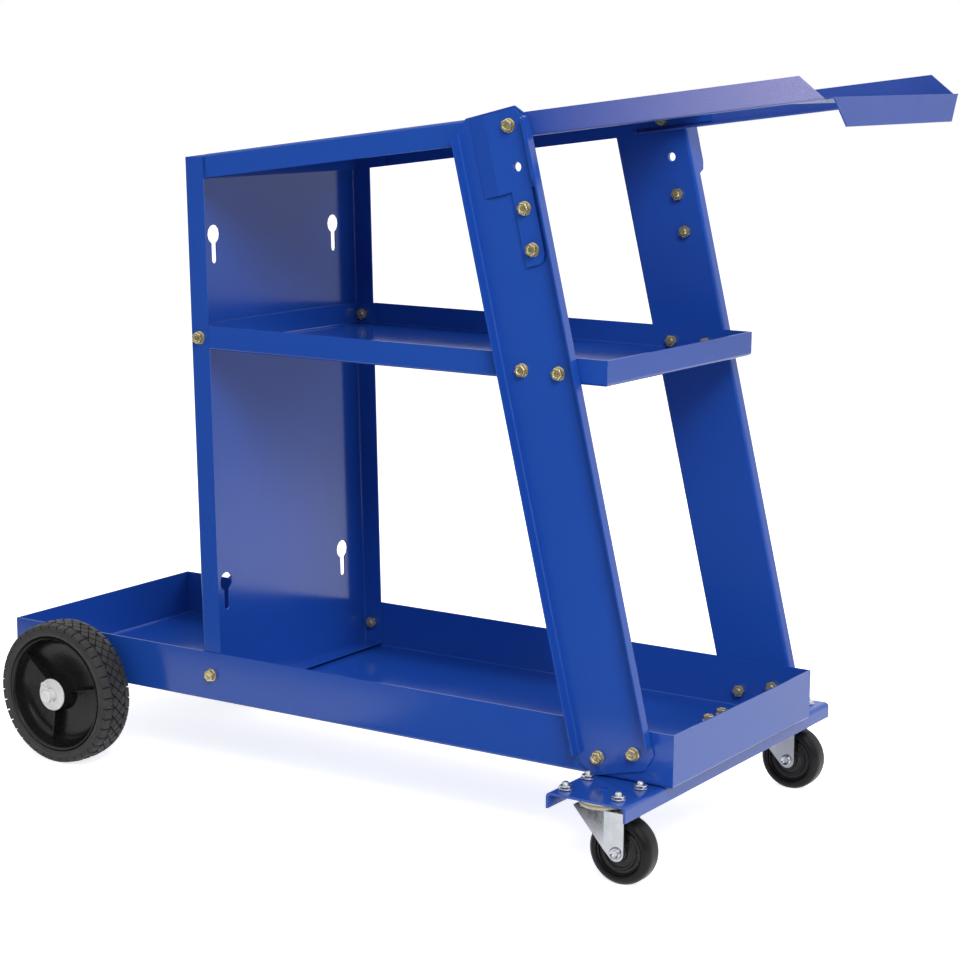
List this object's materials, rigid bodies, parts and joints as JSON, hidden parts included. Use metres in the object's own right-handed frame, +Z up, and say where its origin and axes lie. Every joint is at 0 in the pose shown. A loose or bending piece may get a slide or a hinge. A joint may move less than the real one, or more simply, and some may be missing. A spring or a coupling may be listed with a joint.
{
  "type": "welding cart",
  "caption": "Blue steel trolley with a low base tray on wheels and swivel casters, a back panel, leaning legs, shelves and a sloped push handle, for a welding machine and gas cylinder.",
  "frame": {"origin": "on the floor under the middle of the whole cart's bounding box", "axes": "+X towards the push handle and casters, +Y towards the cart's left, +Z up"},
  "size_m": [1.116, 0.503, 0.8578],
  "materials": {
    "blue_paint": "gloss powder",
    "textured_paint": "orange-peel powder",
    "yellow_zinc": "yellow passivated zinc",
    "bright_zinc": "bright zinc",
    "rubber": "matte",
    "hub_plastic": "satin",
    "race_plastic": "satin"
  },
  "bodies": {
    "frame": {"back_panel": "blue_paint", "base_tray": "blue_paint", "caster_channel": "blue_paint", "handle": "textured_paint", "left_axle_hanger": "blue_paint", "left_axle_washer": "bright_zinc", "left_bracket_bolt_lower": "yellow_zinc", "left_bracket_bolt_upper": "yellow_zinc", "left_cable_bracket": "blue_paint", "left_caster_kingpin": "bright_zinc", "left_caster_plate": "bright_zinc", "left_caster_race": "race_plastic", "left_channel_bolt_inner": "yellow_zinc", "left_channel_bolt_outer": "yellow_zinc", "left_foot_bolt_front": "yellow_zinc", "left_foot_bolt_rear": "yellow_zinc", "left_leg": "blue_paint", "left_panel_bolt_low": "yellow_zinc", "left_panel_bolt_mid": "yellow_zinc", "left_shelf_bolt_front": "yellow_zinc", "left_shelf_bolt_rear": "yellow_zinc", "left_split_pin": "bright_zinc", "left_top_bolt": "yellow_zinc", "middle_shelf": "blue_paint", "rear_axle": "bright_zinc", "right_axle_hanger": "blue_paint", "right_axle_washer": "bright_zinc", "right_bracket_bolt_lower": "yellow_zinc", "right_bracket_bolt_upper": "yellow_zinc", "right_cable_bracket": "blue_paint", "right_caster_kingpin": "bright_zinc", "right_caster_plate": "bright_zinc", "right_caster_race": "race_plastic", "right_channel_bolt_inner": "yellow_zinc", "right_channel_bolt_outer": "yellow_zinc", "right_foot_bolt_front": "yellow_zinc", "right_foot_bolt_rear": "yellow_zinc", "right_leg": "blue_paint", "right_panel_bolt_low": "yellow_zinc", "right_panel_bolt_mid": "yellow_zinc", "right_shelf_bolt_front": "yellow_zinc", "right_shelf_bolt_rear": "yellow_zinc", "right_split_pin": "bright_zinc", "right_top_bolt": "yellow_zinc", "top_shelf": "blue_paint"},
    "right_rear_wheel": {"right_rear_tyre": "rubber", "right_rear_hub": "hub_plastic"},
    "right_caster_swivel": {"right_caster_fork": "bright_zinc", "right_caster_axle_bolt": "bright_zinc"},
    "right_caster_wheel": {"right_caster_tyre": "rubber", "right_caster_hub": "hub_plastic"},
    "left_rear_wheel": {"left_rear_tyre": "rubber", "left_rear_hub": "hub_plastic"},
    "left_caster_swivel": {"left_caster_fork": "bright_zinc", "left_caster_axle_bolt": "bright_zinc"},
    "left_caster_wheel": {"left_caster_tyre": "rubber", "left_caster_hub": "hub_plastic"}
  },
  "joints": [
    {"name": "right_rear_wheel_spin", "type": "hinge", "parent": "frame", "child": "right_rear_wheel", "pos_m": [-0.44303, -0.206, 0.089], "axis": [0, 1, 0], "continuous": true},
    {"name": "right_caster_swivel_turn", "type": "hinge", "parent": "frame", "child": "right_caster_swivel", "pos_m": [0.33257, -0.208, 0.083], "axis": [0, 0, 1], "continuous": true},
    {"name": "right_caster_wheel_spin", "type": "hinge", "parent": "right_caster_swivel", "child": "right_caster_wheel", "pos_m": [0.35997, -0.208, 0.038], "axis": [0, 1, 0], "continuous": true},
    {"name": "left_rear_wheel_spin", "type": "hinge", "parent": "frame", "child": "left_rear_wheel", "pos_m": [-0.44303, 0.206, 0.089], "axis": [0, 1, 0], "continuous": true},
    {"name": "left_caster_swivel_turn", "type": "hinge", "parent": "frame", "child": "left_caster_swivel", "pos_m": [0.33257, 0.208, 0.083], "axis": [0, 0, 1], "continuous": true},
    {"name": "left_caster_wheel_spin", "type": "hinge", "parent": "left_caster_swivel", "child": "left_caster_wheel", "pos_m": [0.35997, 0.208, 0.038], "axis": [0, 1, 0], "continuous": true}
  ]
}
